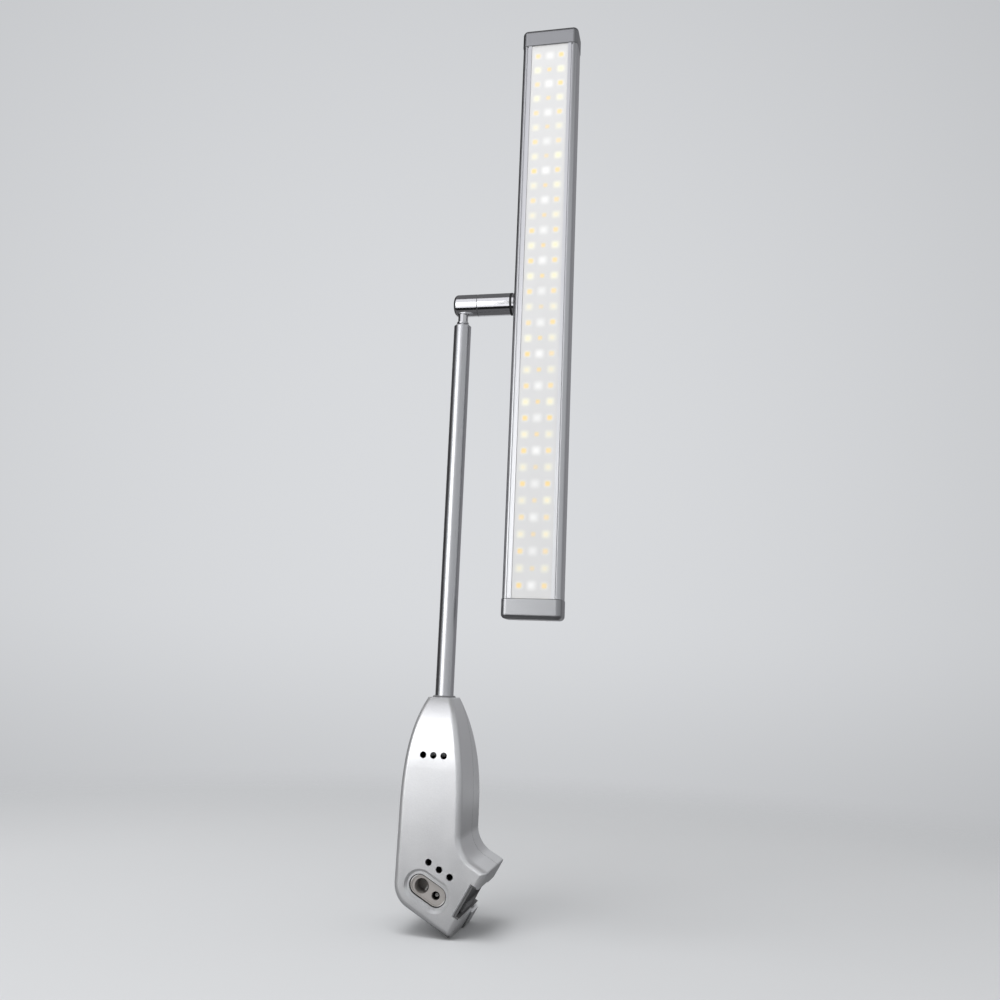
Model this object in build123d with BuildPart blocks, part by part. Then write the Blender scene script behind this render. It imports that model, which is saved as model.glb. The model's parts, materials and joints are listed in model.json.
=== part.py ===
from build123d import *
import os
from math import cos, radians, sin

os.makedirs("parts", exist_ok=True)

# A clip-on display light: a jaw housing, a thin stem, a tilting barrel and a long LED head.
# The origin is the middle of the jaw's seat. +Z runs up the stem, +X towards the head,
# and +Y away from the side that shines.

# Clearances
turn_fit = 0.05          # radial, between pairs that turn on each other
push_fit = 0.02          # radial, between round parts that are fixed in each other
loose_gap = 0.3          # around parts that move past each other
fine_gap = 0.05          # beside flat parts that slide into a slot

# Housing, seen from the front
stem_x = -20.5           # stem axis
stem_y = -3.0
casing_top_z = 100.0
top_half_width = 6.8
body_half_width = 16.8
heel_half_width = 17.3
full_width_z = 42.0      # below this the sides run straight
side_taper = 26.7        # degrees from the stem, where the right side starts at the top
left_taper = 23.5
throat_radius = 15.0
heel_radius = 13.5
tip_radius = 1.6
hook_radius = 0.8

# Housing, seen from the side; depths are measured from the stem axis
front_depth = 18.5
top_front_depth = 9.5
front_full_z = 64.0
front_taper = 38.0
rear_depth = 25.5
top_rear_depth = 9.5
rear_full_z = 44.0
rear_taper = 22.0
seam_y = 5.0             # where the two shells meet
seam_groove_width = 0.15 # in each shell
seam_groove_depth = 0.25
wall = 1.8
edge_radius = 3.0
rim_radius = 0.6         # around the top edge
block_reach = 100.0      # longer than any cut through the housing

# Jaw: t runs up along its seat and n out of it
jaw_tilt = 29.0          # degrees from the stem
hook_reach = 18.1        # from the middle of the seat to the hook's corner
tip_reach = 19.7         # and to the tip
jaw_face = 3.0           # how far the lips stand out from the seat
lip_thickness = 1.2
lip_overhang = 0.7
slot_half_length = 9.2
liner_thickness = 1.2
liner_end_wall = 0.8
liner_inset = 1.0        # from the housing's front and back faces
rear_lip_face = 3.8      # the rear shell's lower lip stands further out
rear_lip_end = 10.3      # but ends further from the middle
rear_lip_foot = 0.9      # this far out of the seat
rear_hook_end = 7.3      # the rear shell's upper lip ends closer to the middle
rear_hook_foot = 2.1     # and further out
slot_bevel = 0.6

# Latch in the jaw's seat
latch_length = 5.2
latch_front_y = -12.0
latch_back_y = 12.0
latch_middle_t = -5.4
latch_proud = 1.0
latch_travel = 1.0
window_front_y = -18.4   # the window runs on in front of the latch
latch_flange = 1.2       # how far the hidden flange reaches past the window
flange_thickness = 1.4
latch_post_radius = 1.5
latch_post_length = 3.0
cage_wall = 1.2
cage_depth = 9.0
cage_half_width = 5.0    # along Y
spring_radius = 2.2
spring_wire_radius = 0.25
spring_turns = 6

# Power inlet, on the front
inlet_x = -19.6
inlet_z = 3.6
dish_length = 26.0
dish_width = 16.6
dish_depth = 1.2
dish_slope = 50.0        # degrees of its wall from the way in
insert_length = 20.3
insert_width = 10.0
insert_gap = 0.4
insert_step = 0.5        # how far the insert lies below the dish
insert_rim = 0.7         # the insert's raised edge
insert_rim_height = 0.5
insert_depth = 12.0
insert_flange = 1.2
surround_wall = 1.6
surround_depth = 9.0
pole_spacing = 8.7
pole_shift = 0.4         # of the poles' middle from the insert's
line_pocket_radius = 3.8
pin_pocket_radius = 2.2
pocket_depth = 9.0
blade_length = 6.5
blade_width = 2.4
blade_thickness = 0.9
blade_offset = 2.5       # from the middle of its pocket
contact_pin_radius = 0.9
contact_pin_length = 6.0
contact_tail = 3.0
contact_tail_radius = 0.6

# Air holes
vent_radius = 1.75
top_vent_z = 70.5
top_vent_pitch = 5.55
vent_shift = 0.6         # of the holes' middle from the stem
low_vent_shift = 6.7
low_vent_z = 14.4
low_vent_pitch = 6.55
vents = 3

# Screws that close the housing
screw_radius = 1.5
screw_head_radius = 2.4
screw_head_height = 1.6
screw_recess = 3.5       # from the back face to the screws' heads
boss_radius = 3.3
screw_bite = 9.0
shoulder_screw_x = 10.5
shoulder_screw_z = 62.0
side_screw_x = -12.7
side_screw_z = 19.0
jaw_screw_t = 14.4
jaw_screw_n = -5.4

# Stem and its bearing in the housing
stem_radius = 5.0
stem_wall = 1.0
stem_top_z = 313.5
stem_chamfer = 1.6
stem_plug = 5.0          # solid length at the top of the stem
stem_foot_z = 64.0
collar_radius = 6.2
collar_height = 0.8
collar_sleeve_radius = 5.8
collar_sleeve_depth = 3.5
rib_thickness = 2.0
bush_top_z = 92.0
bush_height = 14.0
bush_radius = 7.6
clip_radius = 6.3
clip_thickness = 1.0
pan_washer_radius = 7.6
pan_washer_thickness = 0.8
pan_washers = 2
stem_nut_width = 16.0
stem_nut_height = 5.0
grommet_length = 5.0
cable_tail = 1.0         # how far the cable comes out of the stem's foot
cable_radius = 1.4
cable_bend = 3.0

# Swivel barrel; x is measured from the stem axis
barrel_z = 324.8
barrel_radius = 6.5
barrel_left = 5.0        # to the left of the stem axis
barrel_end_radius = 2.4
barrel_seam = 9.0
sleeve_end = 28.4
tilt_washer_thickness = 0.4
tilt_washer_step = 0.5   # how far the washer lies inside the barrel's surface
neck_radius = 2.9
neck_bore = 1.7
neck_in_stem = 4.0
neck_in_barrel = 2.9
neck_bead_radius = 3.5
neck_bead_height = 1.1
axle_radius = 3.0
axle_bore = 1.8
axle_bite = 5.6
axle_end = 21.0
sleeve_web = 4.6
sleeve_bore = 5.0
cone_thickness = 0.5
cone_rise = 0.4
axle_nut_width = 8.0
axle_nut_height = 4.0
bush_bite = 6.4
bush_web_bore = 1.8
ring_thickness = 1.2
flange_thickness_head = 1.2
flange_radius_head = 6.2
spigot_radius = 2.6
head_nut_width = 7.0
head_nut_height = 3.0
nut_clearance = 0.8

# Head; x is measured from its left side, and depth from its front
head_width = 33.0
head_depth = 15.5
head_front = 7.5         # in front of the stem axis
head_length = 353.5
head_drop = 5.0          # the head's middle lies this far below the barrel
head_corner = 3.2
cap_height = 11.0
cap_edge_radius = 2.6
cap_proud = 0.25
cap_relief = 0.35
shoulder_width = 2.7
groove_width = 0.9
groove_depth = 0.8
lens_width = 22.0
lens_recess = 0.4
lip_depth = 0.9
lens_flange = 1.4
lens_flange_thickness = 1.0
led_room = 0.95
board_thickness = 1.0
board_side_slot = 0.8
ledge_depth = 0.95
ledge_width = 1.4
side_wall = 2.2
back_wall = 1.8
port_radius = 2.3
port_hole_radius = 1.25
port_x = 9.0
port_depth = 12.0
cap_plug_depth = 4.0
cap_plug_gap = 0.4
cap_screw_radius = 1.2
cap_screw_length = 12.0
cap_screw_head_radius = 2.4
cap_screw_head_height = 1.3

# Light-emitting diodes
led_margin = 4.0         # between the end caps and the outer rows, at least
led_pitch = 9.34
led_column_pitch = 6.95
led_width = 2.8
led_height = 3.5
led_thickness = 0.6
plug_width = 6.0
plug_height = 5.0
plug_depth = 5.5
plug_inset = 8.0         # from the head's left side

# Driver in the housing
driver_width = 23.0
driver_length = 34.0
driver_thickness = 1.6
driver_y = 8.0
driver_foot_z = 23.0
driver_post_radius = 2.6
driver_post_inset = 3.5
driver_screw_radius = 1.2
driver_screw_length = 6.0
driver_screw_head_radius = 2.2
driver_screw_head_height = 1.2
transformer_size = 14.0
transformer_depth = 13.0
transformer_flange = 1.5
capacitor_radius = 3.2
capacitor_length = 13.0
capacitor_spacing = 7.2
chip_size = 4.0
chip_thickness = 1.6
chip_pitch = 6.0
chips = 3
terminal_length = 7.0
terminal_height = 5.0
terminal_depth = 6.0
lead_radius = 0.8
lead_bend = 4.0
lead_spacing = 1.5       # of the two leads from the middle of their terminal

# Directions in the housing's front view
along = (sin(radians(jaw_tilt)), cos(radians(jaw_tilt)))
outward = (cos(radians(jaw_tilt)), -sin(radians(jaw_tilt)))


def jaw_point(t, n):
    """A point of the front view, from its place along and out of the jaw's seat."""
    return (t * along[0] + n * outward[0], t * along[1] + n * outward[1])


def level_point(point, x):
    """Where the line square to the jaw through a point reaches x."""
    step = (point[0] - x) / outward[0]
    return (x, point[1] - step * outward[1])


def lean(angle):
    """The downward direction that stands out by an angle from the stem."""
    return (sin(radians(angle)), -cos(radians(angle)))


def rise(angle):
    """The upward direction that leans by an angle from the stem."""
    return (sin(radians(angle)), cos(radians(angle)))


# Planes: the jaw's own plane has Y to the right, t up and n out of the seat
jaw_plane = Plane(origin=(0, 0, 0), x_dir=(0, 1, 0), z_dir=(outward[0], 0, outward[1]))
front_y = stem_y - front_depth
back_y = stem_y + rear_depth
front_plane = Plane.XZ.offset(-front_y)
seam_plane = Plane.XZ.offset(-seam_y)
inlet_plane = Plane(
    origin=(inlet_x, front_y, inlet_z),
    x_dir=(outward[0], 0, outward[1]),
    z_dir=(0, -1, 0),
)


def stem_plane(z):
    return Plane.XY.offset(z).shift_origin((stem_x, stem_y, z))


def barrel_plane(x):
    """Square to the barrel, at a distance from the stem axis, facing the head."""
    return Plane(origin=(stem_x + x, stem_y, barrel_z), x_dir=(0, 1, 0), z_dir=(1, 0, 0))


# Housing: outline and side view, also drawn smaller for the hollow inside
slot_floor = -liner_thickness
cavity_floor = slot_floor - wall


def casing_corners(inset):
    """Hook, tip, throat and heel of the outline, in that order."""
    hook = jaw_point(hook_reach - inset, jaw_face - inset)
    tip = jaw_point(inset - tip_reach, jaw_face - inset)
    throat = level_point(hook, stem_x + body_half_width - inset)
    heel = level_point(tip, stem_x - heel_half_width + inset)
    return hook, tip, throat, heel


def casing_outline(inset):
    """Front view of the housing, moved inwards by an inset."""
    hook, tip, throat, heel = casing_corners(inset)
    top_z = casing_top_z - inset
    right_x = stem_x + body_half_width - inset
    left_x = stem_x - body_half_width + inset
    with BuildLine() as curve:
        top = Line(
            (stem_x - top_half_width + inset, top_z),
            (stem_x + top_half_width - inset, top_z),
        )
        Spline(top @ 1, (right_x, full_width_z), tangents=[lean(side_taper), (0, -1)])
        Polyline((right_x, full_width_z), throat, hook, tip, heel, (left_x, full_width_z))
        Spline((left_x, full_width_z), top @ 0, tangents=[(0, 1), rise(left_taper)])
    return curve.edges()


def casing_side(inset):
    """Side view of the housing, moved inwards by an inset."""
    top_z = casing_top_z - inset
    front = front_y + inset
    back = back_y - inset
    with BuildLine() as curve:
        top = Line(
            (stem_y - top_front_depth + inset, top_z),
            (stem_y + top_rear_depth - inset, top_z),
        )
        Spline(top @ 1, (back, rear_full_z), tangents=[lean(rear_taper), (0, -1)])
        Polyline((back, rear_full_z), (back, -block_reach), (front, -block_reach),
                 (front, front_full_z))
        Spline((front, front_full_z), top @ 0, tangents=[(0, 1), rise(front_taper)])
    return curve.edges()


def jaw_polygon(*points):
    """Closed line through points that are given along and out of the jaw's seat."""
    with BuildLine() as line:
        Polyline(*[jaw_point(t, n) for t, n in points], close=True)
    return line.edges()


lip_inside = jaw_face - lip_thickness
mouth_half_length = slot_half_length - lip_overhang
slot_edges = jaw_polygon(
    (slot_half_length, slot_floor),
    (slot_half_length, lip_inside),
    (mouth_half_length, lip_inside),
    (mouth_half_length, block_reach),
    (-mouth_half_length, block_reach),
    (-mouth_half_length, lip_inside),
    (-slot_half_length, lip_inside),
    (-slot_half_length, slot_floor),
)
rear_lip_edges = jaw_polygon(
    (-rear_lip_end, lip_inside),
    (-rear_lip_end, rear_lip_face),
    (-tip_reach, rear_lip_face),
    (-tip_reach, lip_inside),
)
rear_hook_edges = jaw_polygon(
    (rear_hook_end, rear_hook_foot),
    (rear_hook_end, jaw_face),
    (slot_half_length + wall, jaw_face),
    (slot_half_length + wall, rear_hook_foot),
)
rear_lip_trim = jaw_polygon(
    (-mouth_half_length, rear_lip_foot),
    (-mouth_half_length, block_reach),
    (-rear_lip_end, block_reach),
    (-rear_lip_end, rear_lip_foot),
)
slot_walls = jaw_polygon(
    (slot_half_length + wall, cavity_floor),
    (slot_half_length + wall, block_reach),
    (-slot_half_length - wall, block_reach),
    (-slot_half_length - wall, cavity_floor),
)

with BuildSketch() as outline:
    make_face(casing_outline(0))
    for corner, radius in zip(casing_corners(0), (hook_radius, tip_radius, throat_radius, heel_radius)):
        fillet(outline.vertices().sort_by_distance(corner)[0], radius=radius)

with BuildSketch() as cavity_outline:
    make_face(casing_outline(wall))
    throat_inside, heel_inside = casing_corners(wall)[2:]
    fillet(cavity_outline.vertices().sort_by_distance(throat_inside)[0], radius=throat_radius + wall)
    fillet(cavity_outline.vertices().sort_by_distance(heel_inside)[0], radius=heel_radius - wall)
    make_face(slot_walls, mode=Mode.SUBTRACT)


def finish(piece, name):
    """Label a finished piece and write it."""
    piece.part.label = name
    export_step(piece.part, "parts/" + name + ".step")


def on_jaw_face(edge):
    """True for an edge that lies along the jaw's outer face."""
    middle = edge.center()
    n = middle.X * outward[0] + middle.Z * outward[1]
    t = middle.X * along[0] + middle.Z * along[1]
    return abs(n - jaw_face) < hook_radius and -tip_reach < t < hook_reach


def is_level(edge):
    """True for an edge that runs across the front or back face at one height."""
    return edge.bounding_box().size.Z < fine_gap


with BuildPart() as casing_form:
    with BuildSketch(Plane.XZ):
        add(outline.sketch)
    extrude(amount=block_reach, both=True)
    with BuildSketch(Plane.YZ):
        make_face(casing_side(0))
    extrude(amount=block_reach, both=True, mode=Mode.INTERSECT)
    rim = casing_form.edges().filter_by(
        lambda e: e.center().Y < stem_y - top_front_depth - fine_gap
        or e.center().Y > stem_y + top_rear_depth + fine_gap
    )
    rim = rim.filter_by(lambda e: not is_level(e)).filter_by(lambda e: not on_jaw_face(e))
    fillet(rim, radius=edge_radius)
    fillet(casing_form.faces().sort_by(Axis.Z)[-1].edges(), radius=rim_radius)

with BuildPart() as casing_cavity:
    with BuildSketch(Plane.XZ):
        add(cavity_outline.sketch)
    extrude(amount=block_reach, both=True)
    with BuildSketch(Plane.YZ):
        make_face(casing_side(wall))
    extrude(amount=block_reach, both=True, mode=Mode.INTERSECT)

screw_places = [
    (stem_x - shoulder_screw_x, shoulder_screw_z),
    (stem_x + shoulder_screw_x, shoulder_screw_z),
    (stem_x + side_screw_x, side_screw_z),
    jaw_point(jaw_screw_t, jaw_screw_n),
    jaw_point(-jaw_screw_t, jaw_screw_n),
]
screw_seat_y = back_y - screw_recess - screw_head_height
screw_seat = Plane.XZ.offset(-screw_seat_y)
bush_foot_z = bush_top_z - bush_height
rib_places = [bush_top_z, bush_foot_z + bush_height / 2 - rib_thickness / 2, bush_foot_z - rib_thickness]
driver_top_z = driver_foot_z + driver_length
driver_middle_z = driver_foot_z + driver_length / 2
post_places = [
    (stem_x, driver_foot_z + driver_post_inset),
    (stem_x, driver_top_z - driver_post_inset),
]
window_back_y = latch_back_y + loose_gap
window_length = latch_length + 2 * loose_gap

# Bulkheads, screw bosses and driver posts, before they are cut to the shells
with BuildPart() as bulkheads:
    for z in rib_places:
        with BuildSketch(Plane.XY.offset(z)):
            with Locations((stem_x, stem_y)):
                Rectangle(2 * block_reach, 2 * block_reach)
        extrude(amount=rib_thickness)
    add(casing_cavity.part, mode=Mode.INTERSECT)
    for z, radius in zip(rib_places, (stem_radius + loose_gap, bush_radius + push_fit,
                                      stem_radius + loose_gap)):
        with BuildSketch(stem_plane(z)):
            Circle(radius)
        extrude(amount=rib_thickness, mode=Mode.SUBTRACT)

with BuildPart() as bosses:
    with BuildSketch(Plane.XZ):
        with Locations(*screw_places):
            Circle(boss_radius)
    extrude(amount=block_reach, both=True)
    add(casing_form.part, mode=Mode.INTERSECT)

with BuildPart() as jaw_cuts:
    with BuildSketch(Plane.XZ):
        make_face(slot_edges)
    extrude(amount=block_reach, both=True)
    with BuildSketch(jaw_plane.offset(cavity_floor - wall)):
        with Locations(((window_front_y + window_back_y) / 2, latch_middle_t)):
            Rectangle(window_back_y - window_front_y, window_length)
    extrude(amount=block_reach)
    with BuildSketch(stem_plane(casing_top_z - 2 * wall)):
        Circle(collar_sleeve_radius + push_fit)
    extrude(amount=block_reach)

with BuildPart() as seam_groove:
    with BuildSketch(Plane.XZ.offset(-seam_y - seam_groove_width)):
        Rectangle(2 * block_reach, 3 * block_reach)
        make_face(casing_outline(seam_groove_depth), mode=Mode.SUBTRACT)
    extrude(amount=2 * seam_groove_width)

with BuildPart() as front_casing:
    add(casing_form.part)
    add(casing_cavity.part, mode=Mode.SUBTRACT)
    add(bulkheads.part)
    add(bosses.part)
    split(bisect_by=seam_plane, keep=Keep.TOP)
    add(seam_groove.part, mode=Mode.SUBTRACT)
    with BuildSketch(inlet_plane.offset(-wall)):
        SlotOverall(insert_length + 2 * (insert_gap + surround_wall),
                    insert_width + 2 * (insert_gap + surround_wall))
    extrude(amount=-surround_depth)
    with BuildSketch(inlet_plane):
        SlotOverall(dish_length, dish_width)
    extrude(amount=-dish_depth, taper=dish_slope, mode=Mode.SUBTRACT)
    with BuildSketch(inlet_plane):
        SlotOverall(insert_length + 2 * insert_gap, insert_width + 2 * insert_gap)
    extrude(amount=-block_reach / 2, mode=Mode.SUBTRACT)
    with BuildSketch(front_plane):
        with Locations((stem_x + vent_shift, top_vent_z)):
            with GridLocations(top_vent_pitch, 1, vents, 1):
                Circle(vent_radius)
        with Locations(Location((stem_x + low_vent_shift, low_vent_z), -jaw_tilt)):
            with GridLocations(low_vent_pitch, 1, vents, 1):
                Circle(vent_radius)
    extrude(amount=-2 * edge_radius, mode=Mode.SUBTRACT)
    add(jaw_cuts.part, mode=Mode.SUBTRACT)
    with BuildSketch(seam_plane):
        with Locations(*screw_places):
            Circle(screw_radius + push_fit)
    extrude(amount=screw_bite, mode=Mode.SUBTRACT)
    slot_rim = front_casing.edges().filter_by(
        lambda e: abs(e.center().Y - front_y) < fine_gap
        and abs(e.center().X * outward[0] + e.center().Z * outward[1] - slot_floor) < fine_gap
    )
    chamfer(slot_rim, length=slot_bevel)
finish(front_casing, "front_casing")

with BuildPart() as rear_casing:
    add(casing_form.part)
    add(casing_cavity.part, mode=Mode.SUBTRACT)
    add(bulkheads.part)
    add(bosses.part)
    split(bisect_by=seam_plane, keep=Keep.BOTTOM)
    add(seam_groove.part, mode=Mode.SUBTRACT)
    with BuildSketch(seam_plane):
        make_face(rear_lip_edges)
    extrude(amount=-(back_y - seam_y - edge_radius))
    add(jaw_cuts.part, mode=Mode.SUBTRACT)
    with BuildSketch(seam_plane):
        make_face(rear_lip_trim)
    extrude(amount=-block_reach, mode=Mode.SUBTRACT)
    with BuildSketch(seam_plane):
        make_face(rear_hook_edges)
    extrude(amount=-(back_y - seam_y - edge_radius))
    with BuildSketch(Plane.XZ.offset(-driver_y - driver_thickness)):
        with Locations(*post_places):
            Circle(driver_post_radius)
            Circle(driver_screw_radius + push_fit, mode=Mode.SUBTRACT)
    extrude(amount=-(back_y - wall - driver_y - driver_thickness))
    with BuildSketch(seam_plane):
        with Locations(*screw_places):
            Circle(screw_radius + push_fit)
    extrude(amount=-block_reach / 2, mode=Mode.SUBTRACT)
    with BuildSketch(screw_seat):
        with Locations(*screw_places):
            Circle(screw_head_radius + push_fit)
    extrude(amount=-block_reach / 2, mode=Mode.SUBTRACT)
finish(rear_casing, "rear_casing")

with BuildPart() as casing_screws:
    with BuildSketch(screw_seat):
        with Locations(*screw_places):
            Circle(screw_head_radius)
    extrude(amount=-screw_head_height)
    with BuildSketch(screw_seat):
        with Locations(*screw_places):
            Circle(screw_radius)
    extrude(amount=screw_seat_y - seam_y + screw_bite)
    with BuildSketch(screw_seat.offset(-screw_head_height)):
        with Locations(*screw_places):
            RegularPolygon(screw_radius, 6)
    extrude(amount=screw_head_height / 2, mode=Mode.SUBTRACT)
finish(casing_screws, "casing_screws")

# Jaw liner, latch, its cage and its spring
liner_half_length = slot_half_length - liner_end_wall
with BuildPart() as jaw_liner:
    with BuildSketch(Plane.XZ.offset(-front_y - liner_inset)):
        make_face(jaw_polygon(
            (slot_half_length, slot_floor),
            (slot_half_length, lip_inside),
            (liner_half_length, lip_inside),
            (liner_half_length, 0),
            (-liner_half_length, 0),
            (-liner_half_length, lip_inside),
            (-slot_half_length, lip_inside),
            (-slot_half_length, slot_floor),
        ))
    extrude(amount=-(back_y - front_y - 2 * liner_inset))
    with BuildSketch(jaw_plane.offset(slot_floor)):
        with Locations(((window_front_y + window_back_y) / 2, latch_middle_t)):
            Rectangle(window_back_y - window_front_y, window_length)
    extrude(amount=liner_thickness, mode=Mode.SUBTRACT)
finish(jaw_liner, "jaw_liner")

latch_width = latch_back_y - latch_front_y
latch_middle_y = (latch_front_y + latch_back_y) / 2
flange_top = cavity_floor
flange_foot = flange_top - flange_thickness
cage_foot = cavity_floor - cage_depth
with BuildPart() as jaw_latch:
    with BuildSketch(jaw_plane.offset(flange_top)):
        with Locations((latch_middle_y, latch_middle_t)):
            Rectangle(latch_width, latch_length)
    extrude(amount=latch_proud - flange_top)
    chamfer(jaw_latch.faces().sort_by(Axis(origin=(0, 0, 0), direction=jaw_plane.z_dir))[-1].edges(),
            length=latch_proud / 2)
    with BuildSketch(jaw_plane.offset(flange_foot)):
        with Locations((latch_middle_y, latch_middle_t)):
            Rectangle(2 * (cage_half_width - cage_wall - loose_gap), latch_length + 2 * latch_flange)
    extrude(amount=flange_thickness)
    with BuildSketch(jaw_plane.offset(flange_foot - latch_post_length)):
        with Locations((latch_middle_y, latch_middle_t)):
            Circle(latch_post_radius)
    extrude(amount=latch_post_length)
finish(jaw_latch, "jaw_latch")

cage_inside = latch_length + 2 * latch_flange + 2 * loose_gap
with BuildPart() as latch_cage:
    with BuildSketch(jaw_plane.offset(cage_foot)):
        with Locations((latch_middle_y, latch_middle_t)):
            Rectangle(2 * cage_half_width, cage_inside + 2 * cage_wall)
    extrude(amount=cage_depth)
    with BuildSketch(jaw_plane.offset(cage_foot + cage_wall)):
        with Locations((latch_middle_y, latch_middle_t)):
            Rectangle(2 * (cage_half_width - cage_wall), cage_inside)
    extrude(amount=cage_depth, mode=Mode.SUBTRACT)
    with BuildSketch(jaw_plane.offset(cavity_floor - latch_travel - loose_gap)):
        with Locations((latch_middle_y, latch_middle_t)):
            Rectangle(3 * cage_half_width, latch_length + 2 * loose_gap)
    extrude(amount=cage_depth, mode=Mode.SUBTRACT)
finish(latch_cage, "latch_cage")

spring_length = flange_foot - cage_foot - cage_wall - 2 * spring_wire_radius
spring_foot = jaw_plane.offset(cage_foot + cage_wall + spring_wire_radius).shift_origin(
    jaw_plane.offset(cage_foot + cage_wall + spring_wire_radius).from_local_coords(
        (latch_middle_y, latch_middle_t, 0)
    )
)
spring_path = spring_foot.location * Helix(spring_length / spring_turns, spring_length, spring_radius)
with BuildPart() as latch_spring:
    with BuildSketch(Plane(origin=spring_path @ 0, z_dir=spring_path % 0)):
        Circle(spring_wire_radius)
    sweep(path=spring_path, is_frenet=True)
finish(latch_spring, "latch_spring")
print("latch spring, least gap between turns:", spring_length / spring_turns - 2 * spring_wire_radius)

# Power inlet and its two contacts
insert_face = inlet_plane.offset(-dish_depth - insert_step)
line_place = pole_shift - pole_spacing / 2
pin_place = pole_shift + pole_spacing / 2
surround_foot = wall + surround_depth
with BuildPart() as inlet_body:
    with BuildSketch(insert_face):
        SlotOverall(insert_length, insert_width)
    extrude(amount=-insert_depth)
    chamfer(inlet_body.faces().sort_by(Axis.Y)[0].edges(), length=insert_rim / 3)
    with BuildSketch(insert_face):
        SlotOverall(insert_length - 2 * insert_rim, insert_width - 2 * insert_rim)
    extrude(amount=-insert_rim_height, mode=Mode.SUBTRACT)
    with BuildSketch(inlet_plane.offset(-surround_foot)):
        SlotOverall(insert_length + 2 * insert_flange, insert_width + 2 * insert_flange)
    extrude(amount=-insert_flange)
    with BuildSketch(insert_face):
        with Locations((line_place, 0)):
            Circle(line_pocket_radius)
        with Locations((pin_place, 0)):
            Circle(pin_pocket_radius)
    extrude(amount=-pocket_depth, mode=Mode.SUBTRACT)
    with BuildSketch(insert_face.offset(-pocket_depth)):
        with Locations((line_place + blade_offset, 0), (pin_place, 0)):
            Circle(contact_tail_radius + push_fit)
    extrude(amount=-insert_depth, mode=Mode.SUBTRACT)
finish(inlet_body, "inlet_body")

with BuildPart() as inlet_contacts:
    with BuildSketch(insert_face.offset(-pocket_depth)):
        with Locations((line_place + blade_offset, 0)):
            Rectangle(blade_thickness, blade_width)
    extrude(amount=blade_length)
    with BuildSketch(insert_face.offset(-pocket_depth)):
        with Locations((pin_place, 0)):
            Circle(contact_pin_radius)
    extrude(amount=contact_pin_length)
    with BuildSketch(insert_face.offset(-pocket_depth)):
        with Locations((line_place + blade_offset, 0), (pin_place, 0)):
            Circle(contact_tail_radius)
    extrude(amount=-(insert_depth - pocket_depth + contact_tail))
finish(inlet_contacts, "inlet_contacts")

# Driver board and what it carries
with BuildPart() as driver_board:
    with BuildSketch(Plane.XZ.offset(-driver_y)):
        with Locations((stem_x, driver_middle_z)):
            Rectangle(driver_width, driver_length)
        with Locations(*post_places):
            Circle(driver_screw_radius + push_fit, mode=Mode.SUBTRACT)
    extrude(amount=-driver_thickness)
finish(driver_board, "driver_board")

board_face = Plane.XZ.offset(-driver_y)
with BuildPart() as board_screws:
    with BuildSketch(board_face):
        with Locations(*post_places):
            Circle(driver_screw_head_radius)
    extrude(amount=driver_screw_head_height)
    with BuildSketch(board_face):
        with Locations(*post_places):
            Circle(driver_screw_radius)
    extrude(amount=-driver_screw_length)
finish(board_screws, "board_screws")

transformer_z = driver_middle_z - driver_screw_head_radius
with BuildPart() as driver_transformer:
    with BuildSketch(board_face):
        with Locations((stem_x, transformer_z)):
            Rectangle(transformer_size, transformer_size - 2 * transformer_flange)
    extrude(amount=transformer_depth)
    for step in (0, transformer_depth - transformer_flange):
        with BuildSketch(board_face.offset(step)):
            with Locations((stem_x, transformer_z)):
                Rectangle(transformer_size, transformer_size)
        extrude(amount=transformer_flange)
finish(driver_transformer, "driver_transformer")

capacitor_z = driver_top_z - driver_post_inset - capacitor_radius - driver_screw_head_radius
with BuildPart() as driver_capacitors:
    with BuildSketch(board_face):
        with Locations((stem_x, capacitor_z)):
            with GridLocations(2 * capacitor_spacing, 1, 2, 1):
                Circle(capacitor_radius)
    extrude(amount=capacitor_length)
    fillet(driver_capacitors.faces().group_by(Axis.Y)[0].edges(), radius=capacitor_radius / 5)
finish(driver_capacitors, "driver_capacitors")

chip_plane = Plane.XZ.offset(-driver_y - driver_thickness)
with BuildPart() as driver_chips:
    with BuildSketch(chip_plane):
        with Locations((stem_x + chip_pitch, driver_middle_z)):
            with GridLocations(1, chip_pitch, 1, chips):
                Rectangle(chip_size, chip_size)
    extrude(amount=-chip_thickness)
finish(driver_chips, "driver_chips")

input_terminal_x = stem_x - driver_width / 2 + terminal_length / 2
output_terminal_x = stem_x + driver_width / 2 - terminal_length / 2
input_terminal_z = driver_foot_z + terminal_height / 2
output_terminal_z = driver_top_z - terminal_height / 2
terminal_places = [(input_terminal_x, input_terminal_z), (output_terminal_x, output_terminal_z)]
with BuildPart() as board_terminals:
    with BuildSketch(board_face):
        with Locations(*terminal_places):
            Rectangle(terminal_length, terminal_height)
    extrude(amount=terminal_depth)
finish(board_terminals, "board_terminals")

# Leads from the inlet to the board, each down from its terminal and forward to its contact
tail_end = insert_face.offset(-insert_depth - contact_tail)
lead_y = driver_y - terminal_depth / 2
with BuildPart() as inlet_leads:
    for step, contact_u in ((-lead_spacing, line_place + blade_offset), (lead_spacing, pin_place)):
        contact = tail_end.from_local_coords((contact_u, 0, 0))
        with BuildLine() as route:
            FilletPolyline(
                (input_terminal_x, lead_y + step, driver_foot_z),
                (input_terminal_x, lead_y + step, contact.Z + lead_bend),
                (contact.X, contact.Y + lead_bend, contact.Z),
                contact,
                radius=lead_bend / 2,
            )
        with BuildSketch(Plane(origin=route.line @ 0, z_dir=route.line % 0)):
            Circle(lead_radius)
        sweep(path=route.line)
finish(inlet_leads, "inlet_leads")

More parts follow.
